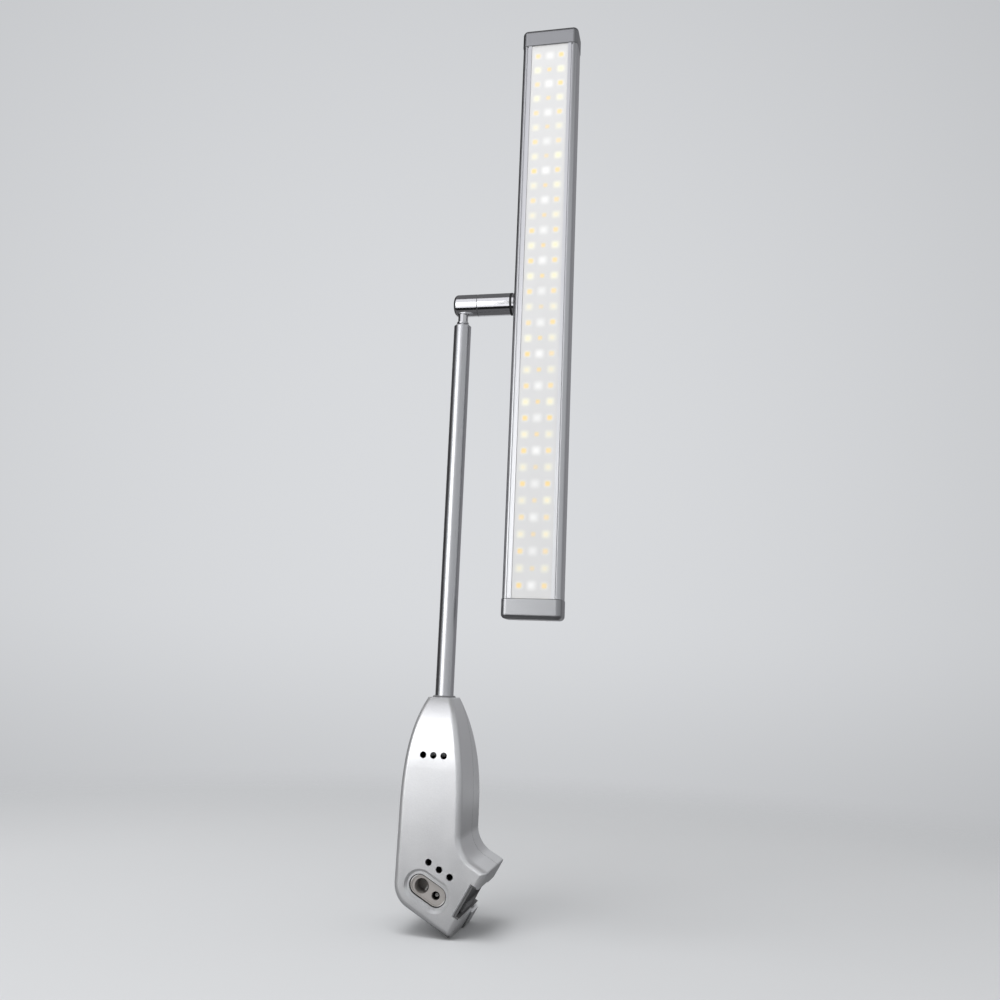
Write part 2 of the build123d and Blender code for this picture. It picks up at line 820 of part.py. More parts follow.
# Bearing of the stem in the housing
with BuildPart() as stem_collar:
    with BuildSketch(stem_plane(casing_top_z)):
        Circle(collar_radius)
    extrude(amount=collar_height)
    chamfer(stem_collar.edges().sort_by(Axis.Z)[-1], length=collar_height / 2)
    with BuildSketch(stem_plane(casing_top_z - collar_sleeve_depth)):
        Circle(collar_sleeve_radius)
    extrude(amount=collar_sleeve_depth)
    with BuildSketch(stem_plane(casing_top_z - collar_sleeve_depth)):
        Circle(stem_radius + turn_fit)
    extrude(amount=2 * collar_sleeve_depth, mode=Mode.SUBTRACT)
finish(stem_collar, "stem_collar")


def ring(foot, outer, inner, height):
    """A flat ring on a plane, as a solid of its own."""
    with BuildPart() as piece:
        with BuildSketch(foot):
            Circle(outer)
            Circle(inner, mode=Mode.SUBTRACT)
        extrude(amount=height)
    return piece


stem_bush = ring(stem_plane(bush_foot_z), bush_radius, stem_radius + turn_fit, bush_height)
finish(stem_bush, "stem_bush")

clip_foot_z = bush_top_z + rib_thickness + fine_gap
stem_clip = ring(stem_plane(clip_foot_z), clip_radius, stem_radius + push_fit, clip_thickness)
finish(stem_clip, "stem_clip")

washer_top_z = bush_foot_z - rib_thickness
with BuildPart() as pan_washer_stack:
    for step in range(pan_washers):
        with BuildSketch(stem_plane(washer_top_z - (step + 1) * (pan_washer_thickness + fine_gap))):
            Circle(pan_washer_radius)
            Circle(stem_radius + turn_fit, mode=Mode.SUBTRACT)
        extrude(amount=pan_washer_thickness)
finish(pan_washer_stack, "pan_washers")

nut_top_z = washer_top_z - pan_washers * (pan_washer_thickness + fine_gap)
with BuildPart() as stem_nut:
    with BuildSketch(stem_plane(nut_top_z - stem_nut_height)):
        RegularPolygon(stem_nut_width / 2, 6, major_radius=False)
        Circle(stem_radius + push_fit, mode=Mode.SUBTRACT)
    extrude(amount=stem_nut_height)
finish(stem_nut, "stem_nut")

# Stem, its cable and its grommet
with BuildPart() as stem_tube:
    with BuildSketch(stem_plane(stem_foot_z)):
        Circle(stem_radius)
    extrude(amount=stem_top_z - stem_foot_z)
    chamfer(stem_tube.edges().sort_by(Axis.Z)[-1], length=stem_chamfer)
    with BuildSketch(stem_plane(stem_foot_z)):
        Circle(stem_radius - stem_wall)
    extrude(amount=stem_top_z - stem_plug - stem_foot_z, mode=Mode.SUBTRACT)
    with BuildSketch(stem_plane(stem_foot_z)):
        Circle(neck_radius + push_fit)
    extrude(amount=stem_top_z, mode=Mode.SUBTRACT)
finish(stem_tube, "stem_tube")

stem_grommet = ring(stem_plane(stem_foot_z), stem_radius - stem_wall - push_fit,
                    cable_radius + push_fit, grommet_length)
finish(stem_grommet, "stem_grommet")

with BuildPart() as stem_cable:
    with BuildLine() as cable_route:
        FilletPolyline(
            (stem_x, stem_y, stem_foot_z - cable_tail),
            (stem_x, stem_y, barrel_z),
            (stem_x + barrel_seam, stem_y, barrel_z),
            radius=cable_bend,
        )
    with BuildSketch(stem_plane(stem_foot_z - cable_tail)):
        Circle(cable_radius)
    sweep(path=cable_route.line)
finish(stem_cable, "stem_cable")

# The lead that joins the stem's cable to the board hangs beside the stem's foot
with BuildPart() as output_lead:
    cable_end = (stem_x, stem_y, stem_foot_z - cable_tail - loose_gap)
    terminal_top = (output_terminal_x, lead_y, driver_top_z)
    with BuildLine() as route:
        FilletPolyline(
            cable_end,
            (stem_x, stem_y, driver_top_z + lead_bend / 2),
            (output_terminal_x, lead_y, driver_top_z + lead_bend / 2),
            terminal_top,
            radius=lead_radius + turn_fit,
        )
    with BuildSketch(Plane(origin=cable_end, z_dir=(0, 0, -1))):
        Circle(lead_radius)
    sweep(path=route.line)
finish(output_lead, "output_lead")

# Neck and barrel
barrel_bottom_z = barrel_z - barrel_radius
with BuildPart() as neck_nipple:
    with BuildSketch(stem_plane(stem_top_z - neck_in_stem)):
        Circle(neck_radius)
    extrude(amount=barrel_bottom_z + neck_in_barrel - stem_top_z + neck_in_stem)
    with BuildSketch(stem_plane(stem_top_z)):
        Circle(neck_bead_radius)
    extrude(amount=neck_bead_height)
    fillet(neck_nipple.faces().filter_by(GeomType.CYLINDER).sort_by(SortBy.RADIUS)[-1].edges(),
           radius=neck_bead_height / 3)
    with BuildSketch(stem_plane(stem_top_z - neck_in_stem)):
        Circle(neck_bore)
    extrude(amount=2 * barrel_radius + neck_in_stem, mode=Mode.SUBTRACT)
finish(neck_nipple, "neck_nipple")

with BuildPart() as swivel_knuckle:
    with BuildSketch(barrel_plane(-barrel_left)):
        Circle(barrel_radius)
    extrude(amount=barrel_left + barrel_seam)
    fillet(swivel_knuckle.edges().sort_by(Axis.X)[0], radius=barrel_end_radius)
    with BuildSketch(stem_plane(barrel_z)):
        Circle(neck_radius + push_fit)
    extrude(amount=-2 * barrel_radius, mode=Mode.SUBTRACT)
    with BuildSketch(barrel_plane(-cable_radius / 2)):
        Circle(axle_radius + push_fit)
    extrude(amount=2 * barrel_seam, mode=Mode.SUBTRACT)
finish(swivel_knuckle, "swivel_knuckle")

sleeve_start = barrel_seam + tilt_washer_thickness
tilt_washer = ring(barrel_plane(barrel_seam), barrel_radius - tilt_washer_step,
                   axle_radius + turn_fit, tilt_washer_thickness)
finish(tilt_washer, "tilt_washer")

swivel_axle = ring(barrel_plane(barrel_seam - axle_bite), axle_radius, axle_bore,
                   axle_bite + axle_end - barrel_seam)
finish(swivel_axle, "swivel_axle")

with BuildPart() as swivel_sleeve:
    with BuildSketch(barrel_plane(sleeve_start)):
        Circle(barrel_radius)
        Circle(axle_radius + turn_fit, mode=Mode.SUBTRACT)
    extrude(amount=sleeve_end - sleeve_start)
    with BuildSketch(barrel_plane(sleeve_start + sleeve_web)):
        Circle(sleeve_bore)
    extrude(amount=sleeve_end, mode=Mode.SUBTRACT)
finish(swivel_sleeve, "swivel_sleeve")


def cone_washer(start, direction):
    """Profile of a dished washer, in the plane of the barrel's axis."""
    inner = axle_radius + turn_fit
    outer = sleeve_bore - loose_gap
    low, high = (0, cone_rise) if direction > 0 else (cone_rise, 0)
    with BuildLine() as profile:
        Polyline(
            (start + low, inner),
            (start + high, outer),
            (start + high + cone_thickness, outer),
            (start + low + cone_thickness, inner),
            close=True,
        )
    return profile.edges()


cone_start = sleeve_start + sleeve_web + fine_gap
cone_pitch = cone_thickness + cone_rise + fine_gap
with BuildPart() as tilt_springs:
    with BuildSketch(Plane(origin=(stem_x, stem_y, barrel_z), x_dir=(1, 0, 0), z_dir=(0, -1, 0))):
        make_face(cone_washer(cone_start, -1))
        make_face(cone_washer(cone_start + cone_pitch, 1))
    revolve(axis=Axis((stem_x, stem_y, barrel_z), (1, 0, 0)))
finish(tilt_springs, "tilt_springs")

axle_nut_start = cone_start + 2 * cone_pitch
with BuildPart() as axle_nut:
    with BuildSketch(barrel_plane(axle_nut_start)):
        RegularPolygon(axle_nut_width / 2, 6, major_radius=False)
        Circle(axle_radius + push_fit, mode=Mode.SUBTRACT)
    extrude(amount=axle_nut_height)
finish(axle_nut, "axle_nut")

# The bush that carries the head on the barrel
flange_start = sleeve_end + ring_thickness
head_left = flange_start + flange_thickness_head
barrel_ring = ring(barrel_plane(sleeve_end), barrel_radius, sleeve_bore, ring_thickness)
finish(barrel_ring, "barrel_ring")

with BuildPart() as head_bush:
    with BuildSketch(barrel_plane(sleeve_end - bush_bite)):
        Circle(sleeve_bore - push_fit)
    extrude(amount=bush_bite + ring_thickness)
    with BuildSketch(barrel_plane(flange_start)):
        Circle(flange_radius_head)
    extrude(amount=flange_thickness_head)
    with BuildSketch(barrel_plane(head_left)):
        Circle(spigot_radius)
    extrude(amount=side_wall + head_nut_height)
    with BuildSketch(barrel_plane(sleeve_end - bush_bite)):
        Circle(bush_web_bore)
    extrude(amount=2 * sleeve_end, mode=Mode.SUBTRACT)
finish(head_bush, "head_bush")

with BuildPart() as head_nut:
    with BuildSketch(barrel_plane(head_left + side_wall)):
        RegularPolygon(head_nut_width / 2, 6, major_radius=False, rotation=30)
        Circle(spigot_radius + push_fit, mode=Mode.SUBTRACT)
    extrude(amount=head_nut_height)
finish(head_nut, "head_nut")

# Head: one section, extruded between the end caps
head_x = stem_x + head_left
head_y = stem_y - head_front
head_middle_z = barrel_z - head_drop
profile_foot_z = head_middle_z - head_length / 2 + cap_height
profile_length = head_length - 2 * cap_height
profile_top_z = profile_foot_z + profile_length
lip_width = (head_width - lens_width) / 2 - shoulder_width - groove_width
lens_flange_y = lip_depth
led_room_y = lens_flange_y + lens_flange_thickness + fine_gap
board_y = led_room_y + led_room
ledge_y = board_y + board_thickness + fine_gap
chamber_y = ledge_y + ledge_depth
chamber_depth = head_depth - back_wall - chamber_y
board_width = lens_width + 2 * lens_flange + board_side_slot


def head_section(z):
    """Section plane of the head, with its origin at the front, in the middle of the width."""
    return Plane(origin=(head_x + head_width / 2, head_y, z), x_dir=(1, 0, 0), z_dir=(0, 0, 1))


def band(width, start, depth):
    """A rectangle of the section, centred on its width, that starts at a depth."""
    with BuildLine() as line:
        Polyline(
            (-width / 2, start),
            (width / 2, start),
            (width / 2, start + depth),
            (-width / 2, start + depth),
            close=True,
        )
    return line.edges()


port_spacing = head_width - 2 * port_x
groove_middle = lens_width / 2 + lip_width + groove_width / 2
with BuildPart() as head_profile:
    with BuildSketch(head_section(profile_foot_z)):
        with Locations((0, head_depth / 2)):
            RectangleRounded(head_width, head_depth, head_corner)
        make_face(band(lens_width, -head_corner, head_corner + lip_depth), mode=Mode.SUBTRACT)
        make_face(band(lens_width + 2 * lens_flange + 2 * fine_gap, lens_flange_y,
                       led_room_y - lens_flange_y), mode=Mode.SUBTRACT)
        make_face(band(lens_width + 2 * lens_flange - board_side_slot, led_room_y, led_room),
                  mode=Mode.SUBTRACT)
        make_face(band(board_width + 2 * fine_gap, board_y, ledge_y - board_y), mode=Mode.SUBTRACT)
        make_face(band(board_width - 2 * ledge_width, ledge_y, ledge_depth), mode=Mode.SUBTRACT)
        make_face(band(head_width - 2 * side_wall, chamber_y, chamber_depth), mode=Mode.SUBTRACT)
        with GridLocations(2 * groove_middle, 1, 2, 1):
            Rectangle(groove_width, 2 * groove_depth, mode=Mode.SUBTRACT)
        with Locations((0, port_depth)):
            with GridLocations(port_spacing, 1, 2, 1):
                Circle(port_radius)
        with Locations((0, port_depth)):
            with GridLocations(port_spacing, 1, 2, 1):
                Circle(port_hole_radius, mode=Mode.SUBTRACT)
    extrude(amount=profile_length)
    with BuildSketch(barrel_plane(head_left)):
        Circle(spigot_radius + push_fit)
    extrude(amount=side_wall, mode=Mode.SUBTRACT)
    with BuildSketch(barrel_plane(head_left + side_wall)):
        Circle(head_nut_width / 2 + nut_clearance)
    extrude(amount=head_nut_height + nut_clearance, mode=Mode.SUBTRACT)
finish(head_profile, "head_profile")

with BuildPart() as diffuser:
    with BuildSketch(head_section(profile_foot_z)):
        make_face(band(lens_width - 2 * fine_gap, lens_recess, lip_depth - lens_recess))
        make_face(band(lens_width + 2 * lens_flange, lens_flange_y, lens_flange_thickness))
    extrude(amount=profile_length)
finish(diffuser, "diffuser")

with BuildPart() as led_board:
    with BuildSketch(head_section(profile_foot_z)):
        make_face(band(board_width, board_y, board_thickness))
    extrude(amount=profile_length)
finish(led_board, "led_board")

# Warm and cool diodes alternate from row to row: the outer two are of one kind, the middle
# one of the other
led_face = Plane.XZ.offset(-head_y - board_y)
led_rows = int((profile_length - 2 * led_margin - led_height) / led_pitch) + 1
first_led_z = head_middle_z - (led_rows - 1) * led_pitch / 2
led_middle_x = head_x + head_width / 2


def led_places(first):
    """Outer places of every second row, and middle places of the rows between them."""
    places = []
    for row in range(led_rows):
        z = first_led_z + row * led_pitch
        if row % 2 == first:
            places.append((led_middle_x - led_column_pitch, z))
            places.append((led_middle_x + led_column_pitch, z))
        else:
            places.append((led_middle_x, z))
    return places


for name, first in (("leds_warm", 0), ("leds_cool", 1)):
    with BuildPart() as leds:
        with BuildSketch(led_face):
            with Locations(*led_places(first)):
                Rectangle(led_width, led_height)
        extrude(amount=led_thickness)
    finish(leds, name)

# Plug on the back of the board, and the cable that reaches it through the barrel
plug_x = head_left + plug_inset
with BuildPart() as board_plug:
    with BuildSketch(Plane.XZ.offset(-head_y - board_y - board_thickness)):
        with Locations((stem_x + plug_x + plug_width / 2, barrel_z)):
            Rectangle(plug_width, plug_height)
    extrude(amount=-plug_depth)
finish(board_plug, "board_plug")

with BuildPart() as head_cable:
    with BuildSketch(barrel_plane(barrel_seam + turn_fit)):
        Circle(cable_radius)
    extrude(amount=plug_x - barrel_seam - turn_fit)
finish(head_cable, "head_cable")


def end_cap(foot_z, up):
    """A cap whose rounded end points up or down, with a plug that enters the profile."""
    section = head_section(foot_z)
    with BuildPart() as cap:
        with BuildSketch(section):
            with Locations((0, head_depth / 2)):
                RectangleRounded(head_width + 2 * cap_proud, head_depth + 2 * cap_proud, head_corner)
        extrude(amount=up * cap_height)
        ends = cap.faces().sort_by(Axis.Z)
        outer, inner = (ends[-1], ends[0]) if up > 0 else (ends[0], ends[-1])
        fillet(outer.edges(), radius=cap_edge_radius)
        chamfer(inner.edges(), length=cap_relief)
        with BuildSketch(section):
            make_face(band(port_spacing - 2 * port_radius - 2 * cap_plug_gap, chamber_y + cap_plug_gap,
                           chamber_depth - 2 * cap_plug_gap))
        extrude(amount=-up * cap_plug_depth)
        with BuildSketch(section):
            with Locations((0, port_depth)):
                with GridLocations(port_spacing, 1, 2, 1):
                    Circle(cap_screw_radius + push_fit)
        extrude(amount=up * cap_height, mode=Mode.SUBTRACT)
        with BuildSketch(section.offset(up * (cap_height - cap_screw_head_height))):
            with Locations((0, port_depth)):
                with GridLocations(port_spacing, 1, 2, 1):
                    Circle(cap_screw_head_radius + push_fit)
        extrude(amount=up * cap_height, mode=Mode.SUBTRACT)
    return cap


finish(end_cap(profile_top_z, 1), "top_end_cap")
finish(end_cap(profile_foot_z, -1), "bottom_end_cap")

with BuildPart() as end_cap_screws:
    for foot_z, up in ((profile_top_z, 1), (profile_foot_z, -1)):
        seat = head_section(foot_z).offset(up * (cap_height - cap_screw_head_height))
        with BuildSketch(seat):
            with Locations((0, port_depth)):
                with GridLocations(port_spacing, 1, 2, 1):
                    Circle(cap_screw_head_radius)
        extrude(amount=up * cap_screw_head_height)
        with BuildSketch(seat):
            with Locations((0, port_depth)):
                with GridLocations(port_spacing, 1, 2, 1):
                    Circle(cap_screw_radius)
        extrude(amount=-up * cap_screw_length)
        with BuildSketch(seat.offset(up * cap_screw_head_height)):
            with Locations((0, port_depth)):
                with GridLocations(port_spacing, 1, 2, 1):
                    RegularPolygon(cap_screw_radius, 6)
        extrude(amount=-up * cap_screw_head_height / 2, mode=Mode.SUBTRACT)
finish(end_cap_screws, "end_cap_screws")
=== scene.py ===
import json
import math

import bpy
from mathutils import Matrix, Vector


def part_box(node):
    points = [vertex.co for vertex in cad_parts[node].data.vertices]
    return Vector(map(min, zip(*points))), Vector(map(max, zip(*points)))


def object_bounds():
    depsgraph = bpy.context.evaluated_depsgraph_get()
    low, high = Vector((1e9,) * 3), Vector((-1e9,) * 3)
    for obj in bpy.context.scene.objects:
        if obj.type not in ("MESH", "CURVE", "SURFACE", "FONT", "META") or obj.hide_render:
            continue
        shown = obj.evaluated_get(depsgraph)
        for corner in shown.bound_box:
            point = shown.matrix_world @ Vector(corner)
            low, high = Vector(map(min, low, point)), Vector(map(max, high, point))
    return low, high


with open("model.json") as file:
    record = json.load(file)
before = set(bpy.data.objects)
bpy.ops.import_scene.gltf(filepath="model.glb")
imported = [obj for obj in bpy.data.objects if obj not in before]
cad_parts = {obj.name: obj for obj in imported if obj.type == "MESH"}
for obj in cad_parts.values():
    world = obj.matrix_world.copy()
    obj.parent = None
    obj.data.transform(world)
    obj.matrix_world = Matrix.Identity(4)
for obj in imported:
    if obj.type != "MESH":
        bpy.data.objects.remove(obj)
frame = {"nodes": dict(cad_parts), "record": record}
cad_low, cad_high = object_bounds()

MM = 0.001
WHITE = (1.0, 1.0, 1.0)
nodes = frame["nodes"]
scene = bpy.context.scene
scene.view_settings.view_transform = "Standard"

# Camera, in the frame of the part
CAMERA_PLACE = Vector((118.15, -516.47, 113.43)) * MM
CAMERA_TURN = 12.32      # degrees, towards the left
CAMERA_PITCH = 10.33     # degrees, upwards
CAMERA_ROLL = 2.36       # degrees
LENS = 34.384            # on a sensor 36 mm wide
SENSOR = 36.0
NEAREST_SEEN = 10.0 * MM

# Backdrop: a colour whose level falls off from its brightest direction and below the horizon
AMBIENT = 0.52           # light from all round
BACKDROP = (0.650, 0.662, 0.682)
BACKDROP_TURN = 16.0     # degrees towards the left of its brightest place
BACKDROP_EDGE = 0.70     # cosine of the angle where the falling off ends
EDGE_LEVEL = 0.765
MIDDLE_LEVEL = 1.07
HORIZON_LOW = -0.14      # heights of the directions between which the level rises
HORIZON_HIGH = 0.07
LOW_LEVEL = 0.87

# Floor
FLOOR_SIZE = 60.0
FLOOR_NEAR = 0.30        # the floor turns into the backdrop between these distances
FLOOR_FAR = 0.85
FLOOR_TONES = ((0.625, 0.635, 0.65), (0.655, 0.665, 0.68))
CARD_Z = cad_low.z + 2.0 * MM

# Upright cards, which only mirrors see: name, azimuths in degrees, distance, heights and tone.
# Azimuths are clockwise from +Y, seen from above.
UPRIGHT_CARDS = (
    ("right_card", (6.0, 85.0), 0.8, (cad_low.z, 1.5), 0.26),
    ("left_card", (-115.0, -45.0), 0.8, (cad_low.z, 1.5), 0.03),
    ("upper_card", (-190.0, -130.0), 0.85, (0.55, 1.28), 0.90),
)

# Level cards, which only mirrors see: name, reach along X, reach along Y, height and tone
LEVEL_CARDS = (
    ("top_card", (-1.2, 1.2), (-0.9, 1.2), 1.3, 0.14),
    ("front_card", (-0.8, 0.8), (-0.47, -0.19), CARD_Z, 0.01),
    ("far_card", (-0.9, 0.9), (-1.15, -0.52), CARD_Z, 1.05),
    ("near_card", (-0.8, 0.8), (-0.19, 0.5), CARD_Z, 0.12),
)

# Lamps: name, place, aim, size, watts and whether mirrors see them
LAMPS = (
    ("key", (-0.62, -1.15, 0.35), (-0.02, 0, 0.25), (0.75, 1.1), 5.5, True),
    ("upper", (-0.30, -0.80, 0.95), (0.03, 0, 0.3), (0.8, 0.6), 2.4, False),
    ("top", (-0.15, -0.35, 1.4), (0, 0, 0.1), (0.8, 0.5), 7.8, False),
)

# Light-emitting diodes, as the solids have them
LED_ROWS = 35
LED_PITCH = 9.34 * MM
LED_COLUMN_PITCH = 6.95 * MM
lens_low, lens_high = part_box("diffuser")
LED_MIDDLE_X = (lens_low.x + lens_high.x) / 2
LED_FIRST_Z = (lens_low.z + lens_high.z) / 2 - (LED_ROWS - 1) * LED_PITCH / 2
DIODE_BODY = (0.85, 0.85, 0.83)
PHOSPHOR_HALF = 1.05 * MM
PHOSPHOR_BLUR = 0.10 * MM

# Painted glow on the lens, in soft squares over the diodes: place, rows, half size, blur, strength and
# colour
WHITE_GLOW = (0.92, 0.92, 0.91)
PALE_GLOW = (0.93, 0.91, 0.72)
WARM_GLOW = (0.90, 0.68, 0.30)
LENS_GLOWS = (
    ("middle", "even", 2.0 * MM, 1.9 * MM, 0.90, WHITE_GLOW),
    ("outer", "even", 1.8 * MM, 1.6 * MM, 0.45, WHITE_GLOW),
    ("outer", "even", 1.4 * MM, 0.8 * MM, 0.95, WARM_GLOW),
    ("outer", "odd", 1.9 * MM, 1.5 * MM, 0.85, PALE_GLOW),
    ("outer", "odd", 1.0 * MM, 0.8 * MM, 0.30, WARM_GLOW),
    ("middle", "odd", 1.2 * MM, 0.7 * MM, 0.80, WARM_GLOW),
)
LENS_TONES = ((0.67, 0.67, 0.67), (0.71, 0.71, 0.71))
LENS_EMISSION = 0.05

# Inlet's insert
INSERT_PLAIN = (0.36, 0.34, 0.325)
INSERT_RIM_HIGHLIGHT = (0.72, 0.71, 0.70)
INSERT_HIGHLIGHT_WIDTH = 0.7 * MM    # width of the painted highlight along its rim
INSERT_HIGHLIGHT_BLUR = 0.15 * MM


# Node helpers

def socket_value(node, key, value):
    """Set an input of a node to a number or colour, or link it to another node's output."""
    socket = node.inputs[key]
    if isinstance(value, bpy.types.NodeSocket):
        node.id_data.links.new(value, socket)
    elif isinstance(value, (tuple, list)) and len(value) == 3 and socket.type == "RGBA":
        socket.default_value = (*value, 1.0)
    else:
        socket.default_value = value


def add_node(tree, kind, inputs=None, **settings):
    """A node with its settings and its inputs, as a dictionary from names or numbers to values."""
    node = tree.nodes.new(kind)
    for key, value in settings.items():
        setattr(node, key, value)
    for key, value in (inputs or {}).items():
        socket_value(node, key, value)
    return node


def calc(tree, operation, *values):
    """Output of a Math node on numbers or sockets."""
    return add_node(tree, "ShaderNodeMath", dict(enumerate(values)), operation=operation).outputs[0]


def distance(tree, first, second):
    """Length of the diagonal over two lengths."""
    squares = [calc(tree, "POWER", length, 2.0) for length in (first, second)]
    return calc(tree, "SQRT", calc(tree, "ADD", *squares))


def span(tree, value, low, high, to_low=0.0, to_high=1.0, smooth=True):
    """Value mapped from one range to another, clamped."""
    return add_node(tree, "ShaderNodeMapRange",
                    {"Value": value, "From Min": low, "From Max": high,
                     "To Min": to_low, "To Max": to_high},
                    interpolation_type="SMOOTHSTEP" if smooth else "LINEAR").outputs[0]


def mix_colour(tree, share, first, second, blend="MIX"):
    """Output of a colour mix."""
    node = add_node(tree, "ShaderNodeMix", data_type="RGBA", blend_type=blend)
    socket_value(node, 0, share)
    socket_value(node, 6, first)
    socket_value(node, 7, second)
    return node.outputs[2]


def place(tree, scale=(1.0, 1.0, 1.0)):
    """Object coordinates in metres, scaled along each axis."""
    coordinates = add_node(tree, "ShaderNodeTexCoord")
    return add_node(tree, "ShaderNodeMapping",
                    {"Vector": coordinates.outputs["Object"], "Scale": scale}).outputs[0]


def axes(tree):
    """Object coordinates along X, Y and Z, by name."""
    return add_node(tree, "ShaderNodeSeparateXYZ", {0: place(tree)}).outputs


def noise(tree, vector, scale, detail=2.0, roughness=0.5):
    """Noise between 0 and 1."""
    return add_node(tree, "ShaderNodeTexNoise",
                    {"Vector": vector, "Scale": scale, "Detail": detail,
                     "Roughness": roughness}).outputs[0]


def bump(tree, height, distance_in_metres, strength):
    """Normal that is raised by a height."""
    return add_node(tree, "ShaderNodeBump",
                    {"Height": height, "Distance": distance_in_metres,
                     "Strength": strength}).outputs[0]


def empty_tree(owner):
    """Node tree of a new material or world, with nothing in it."""
    owner.use_nodes = True
    owner.node_tree.nodes.clear()
    return owner.node_tree


def blank(name):
    """Tree and shader of a new material, which is listed under its name."""
    materials[name] = bpy.data.materials.new(name)
    tree = empty_tree(materials[name])
    shader = add_node(tree, "ShaderNodeBsdfPrincipled")
    add_node(tree, "ShaderNodeOutputMaterial", {"Surface": shader.outputs[0]})
    return tree, shader


def lighter_darker(tree, field, colour, amount):
    """A colour that a field makes darker or lighter by an amount."""
    return mix_colour(tree, field, [c * (1 - amount) for c in colour],
                      [min(1.0, c * (1 + amount)) for c in colour])


def patchy(tree, colour):
    """A colour that grows a little lighter and darker in soft patches."""
    return lighter_darker(tree, noise(tree, place(tree), 120.0, 3.0), colour, 0.06)


def cavity_shade(tree, colour, reach=30.0 * MM, low=0.08, high=0.28):
    """A colour that turns dark deep inside the object."""
    open_share = add_node(tree, "ShaderNodeAmbientOcclusion", {"Distance": reach},
                          samples=6).outputs["AO"]
    shade = span(tree, open_share, low, high)
    grey = add_node(tree, "ShaderNodeCombineColor", {0: shade, 1: shade, 2: shade}).outputs[0]
    return mix_colour(tree, 1.0, colour, grey, "MULTIPLY")


def edge_light(tree):
    """Where the surface bends sharply outwards: 1 on edges, 0 elsewhere."""
    geometry = add_node(tree, "ShaderNodeNewGeometry")
    return span(tree, geometry.outputs["Pointiness"], 0.52, 0.60)


def offset_in_grid(tree, value, start, pitch):
    """Signed distance from the nearest place of a row of places."""
    steps = calc(tree, "DIVIDE", calc(tree, "SUBTRACT", value, start), pitch)
    nearest = calc(tree, "ROUND", steps)
    return calc(tree, "MULTIPLY", calc(tree, "SUBTRACT", steps, nearest), pitch)


def soft_square(tree, across, up, half, blur):
    """1 inside a square with round corners and soft edges, 0 outside."""
    power = 3.0
    powers = [calc(tree, "POWER", calc(tree, "ABSOLUTE", length), power) for length in (across, up)]
    reach = calc(tree, "POWER", calc(tree, "ADD", *powers), 1 / power)
    return span(tree, reach, half + blur, half - blur)


# Materials

materials = {}


def silver_paint():
    """Fine silver paint with flakes and an orange-peel surface."""
    tree, shader = blank("housing_paint")
    flakes = add_node(tree, "ShaderNodeTexVoronoi", {"Vector": place(tree), "Scale": 5200.0})
    flake_share = span(tree, flakes.outputs["Color"], 0.1, 0.9, 0.0, 0.35, smooth=False)
    cloud = noise(tree, place(tree), 60.0, 3.0)
    base = mix_colour(tree, cloud, (0.73, 0.735, 0.745), (0.79, 0.795, 0.80))
    flaked = mix_colour(tree, flake_share, base, (0.90, 0.905, 0.92))
    socket_value(shader, "Base Color", cavity_shade(tree, flaked, 20.0 * MM, 0.18, 0.45))
    socket_value(shader, "Metallic", 0.75)
    socket_value(shader, "Roughness", span(tree, cloud, 0.3, 0.7, 0.30, 0.37))
    peel = noise(tree, place(tree), 900.0)
    grain = noise(tree, place(tree), 4200.0, 1.0)
    height = calc(tree, "ADD", calc(tree, "MULTIPLY", peel, 0.6), calc(tree, "MULTIPLY", grain, 0.4))
    socket_value(shader, "Normal", bump(tree, height, 0.12 * MM, 0.35))
    socket_value(shader, "Coat Weight", 0.15)
    socket_value(shader, "Coat Roughness", 0.25)


def drawn_metal(name, colour, roughness, streak_axis, streak):
    """Metal with fine lines along one axis, as drawn, extruded or brushed."""
    tree, shader = blank(name)
    along, across = 22.0, 2600.0
    scale = [along if axis == streak_axis else across for axis in "XYZ"]
    lines = noise(tree, place(tree, scale), 1.0, 4.0, 0.6)
    patches = noise(tree, place(tree), 45.0)
    tone = calc(tree, "ADD", calc(tree, "MULTIPLY", lines, 0.7), calc(tree, "MULTIPLY", patches, 0.3))
    socket_value(shader, "Base Color", cavity_shade(tree, lighter_darker(tree, tone, colour, streak)))
    socket_value(shader, "Metallic", 1.0)
    socket_value(shader, "Roughness", span(tree, tone, 0.25, 0.75, roughness * 0.85, roughness * 1.15))
    socket_value(shader, "Normal", bump(tree, lines, 0.03 * MM, 0.6))


def polished(name, colour, roughness):
    """Bright plating with faint smears."""
    tree, shader = blank(name)
    smears = noise(tree, place(tree, (160.0, 420.0, 420.0)), 1.0, 4.0, 0.65)
    socket_value(shader, "Base Color", mix_colour(
        tree, smears, [c * 0.96 for c in colour], [min(1.0, c * 1.03) for c in colour]))
    socket_value(shader, "Metallic", 1.0)
    socket_value(shader, "Roughness", span(tree, smears, 0.3, 0.75, roughness * 0.7, roughness * 1.6))
    socket_value(shader, "Normal", bump(tree, smears, 0.02 * MM, 0.25))


def moulded(name, colour, roughness, grain=3000.0, edges=0.25):
    """Moulded plastic or lacquer: a fine skin, soft patches and a painted highlight along sharp edges."""
    tree, shader = blank(name)
    skin = noise(tree, place(tree), grain)
    # Sharp edges are painted lighter: a painted highlight where edges catch the light.
    edge_highlight = calc(tree, "MULTIPLY", edge_light(tree), edges)
    lighter = [c + (1 - c) * 0.35 for c in colour]
    socket_value(shader, "Base Color", mix_colour(tree, edge_highlight, patchy(tree, colour), lighter))
    socket_value(shader, "Roughness", span(tree, skin, 0.3, 0.7, roughness * 0.9, roughness * 1.1))
    socket_value(shader, "Specular IOR Level", 0.4)
    socket_value(shader, "Normal", bump(tree, skin, 0.04 * MM, 0.5))


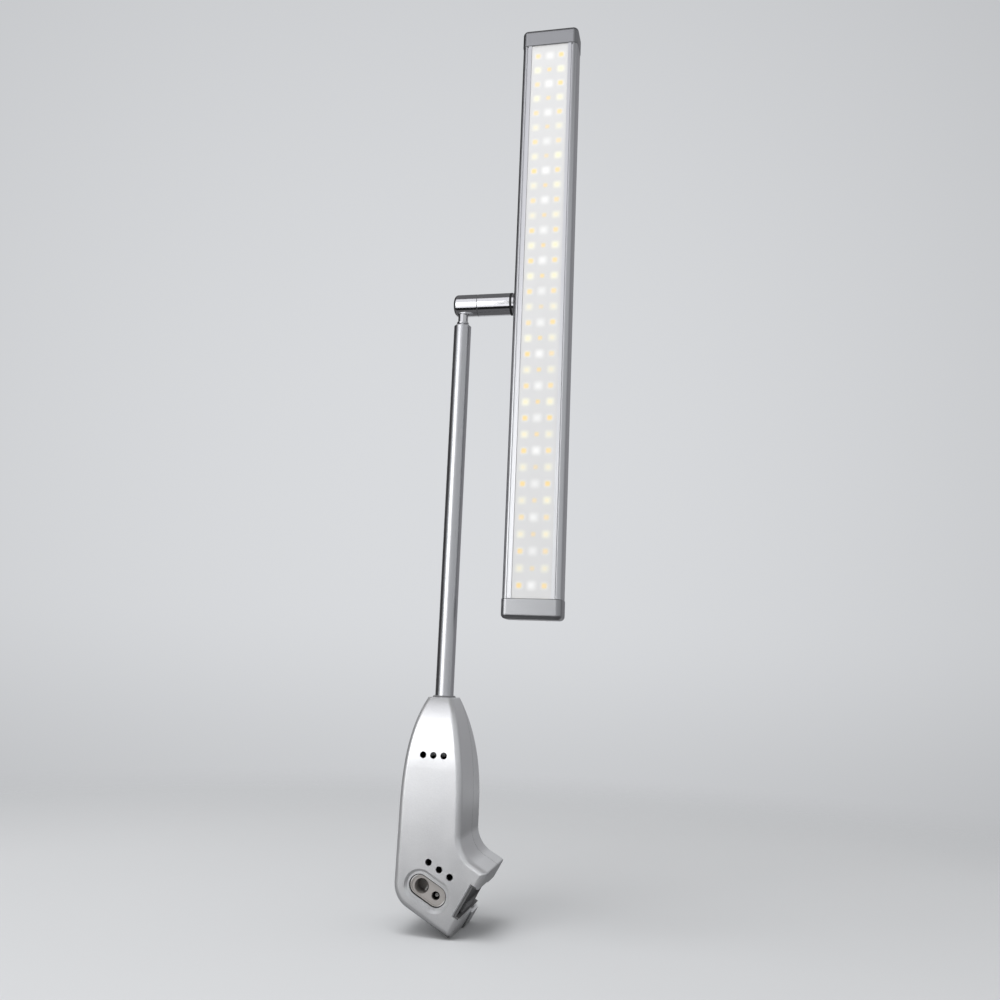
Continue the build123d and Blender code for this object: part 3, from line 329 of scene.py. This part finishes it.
def inlet_insert():
    """Plastic of the inlet's insert: grey, with a painted highlight along its rim and painted shade in its
    pockets.
    """
    tree, shader = blank("inlet_plastic")
    low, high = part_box("inlet_body")
    middle = (low + high) / 2
    half_height = (high.z - low.z) / 2
    half_straight = (high.x - low.x) / 2 - half_height
    position = axes(tree)
    along = calc(tree, "ABSOLUTE", calc(tree, "SUBTRACT", position["X"], middle.x))
    past_straight = calc(tree, "MAXIMUM", calc(tree, "SUBTRACT", along, half_straight), 0.0)
    upward = calc(tree, "SUBTRACT", position["Z"], middle.z)
    # The insert's rim is painted lighter all round: a painted highlight on its raised rim.
    highlight_start = half_height - INSERT_HIGHLIGHT_WIDTH
    rim_highlight = span(tree, distance(tree, past_straight, upward),
                  highlight_start - INSERT_HIGHLIGHT_BLUR, highlight_start + INSERT_HIGHLIGHT_BLUR)
    skin = noise(tree, place(tree), 3000.0)
    # Its pockets and the gap round it are darkened by ambient occlusion: painted shade.
    socket_value(shader, "Base Color", cavity_shade(
        tree, mix_colour(tree, rim_highlight, patchy(tree, INSERT_PLAIN), INSERT_RIM_HIGHLIGHT), 6.0 * MM, 0.10, 0.45))
    socket_value(shader, "Roughness", span(tree, skin, 0.3, 0.7, 0.40, 0.50))
    socket_value(shader, "Specular IOR Level", 0.4)
    socket_value(shader, "Normal", bump(tree, skin, 0.04 * MM, 0.5))


def diode(name, phosphor):
    """A diode's white body with its square of phosphor, the same on every place of its grid."""
    tree, shader = blank(name)
    position = axes(tree)
    across = offset_in_grid(tree, position["X"], LED_MIDDLE_X, LED_COLUMN_PITCH)
    up = offset_in_grid(tree, position["Z"], LED_FIRST_Z, LED_PITCH)
    reach = calc(tree, "MAXIMUM", calc(tree, "ABSOLUTE", across), calc(tree, "ABSOLUTE", up))
    inside = span(tree, reach, PHOSPHOR_HALF + PHOSPHOR_BLUR, PHOSPHOR_HALF - PHOSPHOR_BLUR)
    grain = noise(tree, place(tree), 9000.0)
    tone = mix_colour(tree, grain, [c * 0.9 for c in phosphor], phosphor)
    socket_value(shader, "Base Color", mix_colour(tree, inside, DIODE_BODY, tone))
    socket_value(shader, "Roughness", span(tree, grain, 0.3, 0.7, 0.35, 0.45))
    socket_value(shader, "Normal", bump(tree, inside, 0.03 * MM, -0.5))


def frosted_lens():
    """Frosted lens with soft squares of painted glow over the diodes, which the lens itself gives off."""
    tree, shader = blank("frosted_lens")
    position = axes(tree)
    middle = calc(tree, "SUBTRACT", position["X"], LED_MIDDLE_X)
    offsets = {"middle": middle,
               "outer": calc(tree, "SUBTRACT", calc(tree, "ABSOLUTE", middle), LED_COLUMN_PITCH)}
    up = offset_in_grid(tree, position["Z"], LED_FIRST_Z, LED_PITCH)
    height = calc(tree, "SUBTRACT", position["Z"], LED_FIRST_Z)
    row = calc(tree, "ROUND", calc(tree, "DIVIDE", height, LED_PITCH))
    odd = calc(tree, "ABSOLUTE", calc(tree, "MODULO", row, 2.0))
    row_masks = {"odd": odd, "even": calc(tree, "SUBTRACT", 1.0, odd)}
    frost = noise(tree, place(tree), 2600.0, 3.0)
    veil = noise(tree, place(tree), 90.0)
    uneven = span(tree, noise(tree, place(tree), 70.0, 1.0), 0.35, 0.65, 0.6, 1.0)
    glow = mix_colour(tree, veil, *LENS_TONES)
    light = 0.0
    for column, rows, half, blur, strength, tint in LENS_GLOWS:
        spot = soft_square(tree, offsets[column], up, half, blur)
        spot = calc(tree, "MULTIPLY", calc(tree, "MULTIPLY", spot, uneven), row_masks[rows])
        share = calc(tree, "MULTIPLY", spot, strength)
        glow = mix_colour(tree, share, glow, tint)
        light = calc(tree, "ADD", light, share)
    socket_value(shader, "Base Color", glow)
    socket_value(shader, "Roughness", span(tree, frost, 0.3, 0.7, 0.42, 0.52))
    # The lens itself gives off a painted glow over the diodes.
    socket_value(shader, "Emission Color", glow)
    socket_value(shader, "Emission Strength", calc(tree, "MULTIPLY", light, LENS_EMISSION))
    socket_value(shader, "Normal", bump(tree, frost, 0.03 * MM, 0.4))


silver_paint()
drawn_metal("steel", (0.62, 0.62, 0.63), 0.32, "Z", 0.08)
moulded("dark_plastic", (0.10, 0.10, 0.11), 0.40)
drawn_metal("brass", (0.70, 0.55, 0.28), 0.30, "Z", 0.08)
inlet_insert()
polished("contact", (0.80, 0.79, 0.76), 0.18)
moulded("lead_jacket", (0.80, 0.80, 0.80), 0.45)
moulded("circuit_board", (0.05, 0.20, 0.09), 0.35, grain=1500.0)
moulded("ferrite", (0.08, 0.08, 0.08), 0.60)
moulded("capacitor_sleeve", (0.05, 0.06, 0.12), 0.30)
moulded("chip_plastic", (0.03, 0.03, 0.03), 0.50)
moulded("terminal_plastic", (0.80, 0.80, 0.78), 0.40)
moulded("liner_plastic", (0.035, 0.035, 0.037), 0.50)
moulded("latch_plastic", (0.05, 0.05, 0.052), 0.40)
drawn_metal("stem_metal", (0.66, 0.665, 0.68), 0.30, "Z", 0.07)
moulded("rubber", (0.012, 0.012, 0.013), 0.60, edges=0.0)
polished("bright_chrome", (0.80, 0.80, 0.81), 0.09)
moulded("washer_plastic", (0.08, 0.08, 0.08), 0.50)
drawn_metal("head_aluminium", (0.70, 0.705, 0.72), 0.33, "Z", 0.05)
frosted_lens()
moulded("led_board_white", (0.86, 0.86, 0.86), 0.40)
diode("warm_phosphor", (0.98, 0.80, 0.30))
diode("cool_phosphor", (0.97, 0.95, 0.62))
drawn_metal("cap_metal", (0.42, 0.425, 0.435), 0.34, "X", 0.05)

for part in frame["record"]["subparts"]:
    mesh = nodes[part["node"]].data
    mesh.materials.clear()
    mesh.materials.append(materials[part["material_slot"]])


# Studio and camera

def direction(turn, pitch):
    """Direction at angles towards the left of +Y and upwards, in degrees."""
    turn, pitch = math.radians(turn), math.radians(pitch)
    return Vector((-math.sin(turn) * math.cos(pitch), math.cos(turn) * math.cos(pitch), math.sin(pitch)))


def make_world():
    """Even light for surfaces, and the backdrop for camera, mirror and glass rays."""
    world = bpy.data.worlds.new("studio")
    scene.world = world
    tree = empty_tree(world)
    ray = add_node(tree, "ShaderNodeTexCoord").outputs["Generated"]
    nearness = add_node(tree, "ShaderNodeVectorMath",
                        {0: ray, 1: direction(BACKDROP_TURN, CAMERA_PITCH)},
                        operation="DOT_PRODUCT").outputs["Value"]
    glow = span(tree, nearness, BACKDROP_EDGE, 1.0, EDGE_LEVEL, MIDDLE_LEVEL, smooth=False)
    height = add_node(tree, "ShaderNodeSeparateXYZ", {0: ray}).outputs["Z"]
    rise = span(tree, height, HORIZON_LOW, HORIZON_HIGH, LOW_LEVEL, 1.0)
    backdrop = add_node(tree, "ShaderNodeBackground",
                        {"Color": BACKDROP, "Strength": calc(tree, "MULTIPLY", glow, rise)})
    light = add_node(tree, "ShaderNodeBackground", {"Color": WHITE, "Strength": AMBIENT})
    path = add_node(tree, "ShaderNodeLightPath").outputs
    seen = calc(tree, "MAXIMUM", path["Is Camera Ray"],
                calc(tree, "MAXIMUM", path["Is Glossy Ray"], path["Is Transmission Ray"]))
    surface = add_node(tree, "ShaderNodeMixShader", {0: seen, 1: light.outputs[0], 2: backdrop.outputs[0]})
    add_node(tree, "ShaderNodeOutputWorld", {"Surface": surface.outputs[0]})


def stage_sheet(name, corners):
    """A four-cornered sheet of the studio, and the empty tree of its material."""
    mesh = bpy.data.meshes.new(name)
    mesh.from_pydata(corners, [], [(0, 1, 2, 3)])
    sheet = bpy.data.objects.new(name, mesh)
    scene.collection.objects.link(sheet)
    material = bpy.data.materials.new(name)
    mesh.materials.append(material)
    return sheet, empty_tree(material)


def level_corners(reach_x, reach_y, z):
    """Corners of a level rectangle."""
    (low_x, high_x), (low_y, high_y) = reach_x, reach_y
    return [(low_x, low_y, z), (high_x, low_y, z), (high_x, high_y, z), (low_x, high_y, z)]


def make_floor():
    """Paper floor under the object, clear far away, where the backdrop takes over."""
    reach = (-FLOOR_SIZE / 2, FLOOR_SIZE / 2)
    sheet, tree = stage_sheet("floor", level_corners(reach, reach, cad_low.z))
    position = axes(tree)
    far = span(tree, distance(tree, position["X"], position["Y"]), FLOOR_NEAR, FLOOR_FAR)
    tone = mix_colour(tree, noise(tree, place(tree), 3.0), *FLOOR_TONES)
    paper = add_node(tree, "ShaderNodeBsdfDiffuse", {"Color": tone})
    clear = add_node(tree, "ShaderNodeBsdfTransparent")
    surface = add_node(tree, "ShaderNodeMixShader", {0: far, 1: paper.outputs[0], 2: clear.outputs[0]})
    add_node(tree, "ShaderNodeOutputMaterial", {"Surface": surface.outputs[0]})


def make_card(name, corners, tone):
    """A plain card that only mirrors and shiny surfaces see."""
    sheet, tree = stage_sheet(name, corners)
    sheet.visible_camera = False
    sheet.visible_diffuse = False
    sheet.visible_shadow = False
    surface = add_node(tree, "ShaderNodeEmission", {"Color": (tone, tone, tone * 1.05)})
    add_node(tree, "ShaderNodeOutputMaterial", {"Surface": surface.outputs[0]})


def make_lamp(name, where, aim, size, watts, in_mirrors):
    """A rectangular lamp that faces a point."""
    lamp = bpy.data.lights.new(name, "AREA")
    lamp.shape = "RECTANGLE"
    lamp.size, lamp.size_y = size
    lamp.energy = watts
    body = bpy.data.objects.new(name, lamp)
    body.location = where
    body.rotation_euler = (Vector(aim) - Vector(where)).to_track_quat("-Z", "Y").to_euler()
    body.visible_glossy = in_mirrors
    scene.collection.objects.link(body)


def make_camera():
    """Camera with its turn, pitch and roll."""
    turn, roll = math.radians(CAMERA_TURN), math.radians(CAMERA_ROLL)
    forward = direction(CAMERA_TURN, CAMERA_PITCH)
    level = Vector((math.cos(turn), math.sin(turn), 0))
    upright = level.cross(forward)
    right = level * math.cos(roll) + upright * math.sin(roll)
    up = upright * math.cos(roll) - level * math.sin(roll)
    camera = bpy.data.objects.new("camera", bpy.data.cameras.new("camera"))
    turned = Matrix((right, up, -forward)).transposed().to_4x4()
    camera.matrix_world = Matrix.Translation(CAMERA_PLACE) @ turned
    camera.data.lens = LENS
    camera.data.sensor_width = SENSOR
    camera.data.clip_start = NEAREST_SEEN
    scene.collection.objects.link(camera)
    scene.camera = camera


make_world()
make_floor()
for name, azimuths, away, heights, tone in UPRIGHT_CARDS:
    feet = [(away * math.sin(math.radians(a)), away * math.cos(math.radians(a))) for a in azimuths]
    low_z, high_z = heights
    make_card(name, [(*feet[0], low_z), (*feet[1], low_z), (*feet[1], high_z), (*feet[0], high_z)], tone)
for name, reach_x, reach_y, z, tone in LEVEL_CARDS:
    make_card(name, level_corners(reach_x, reach_y, z), tone)
for lamp in LAMPS:
    make_lamp(*lamp)
make_camera()
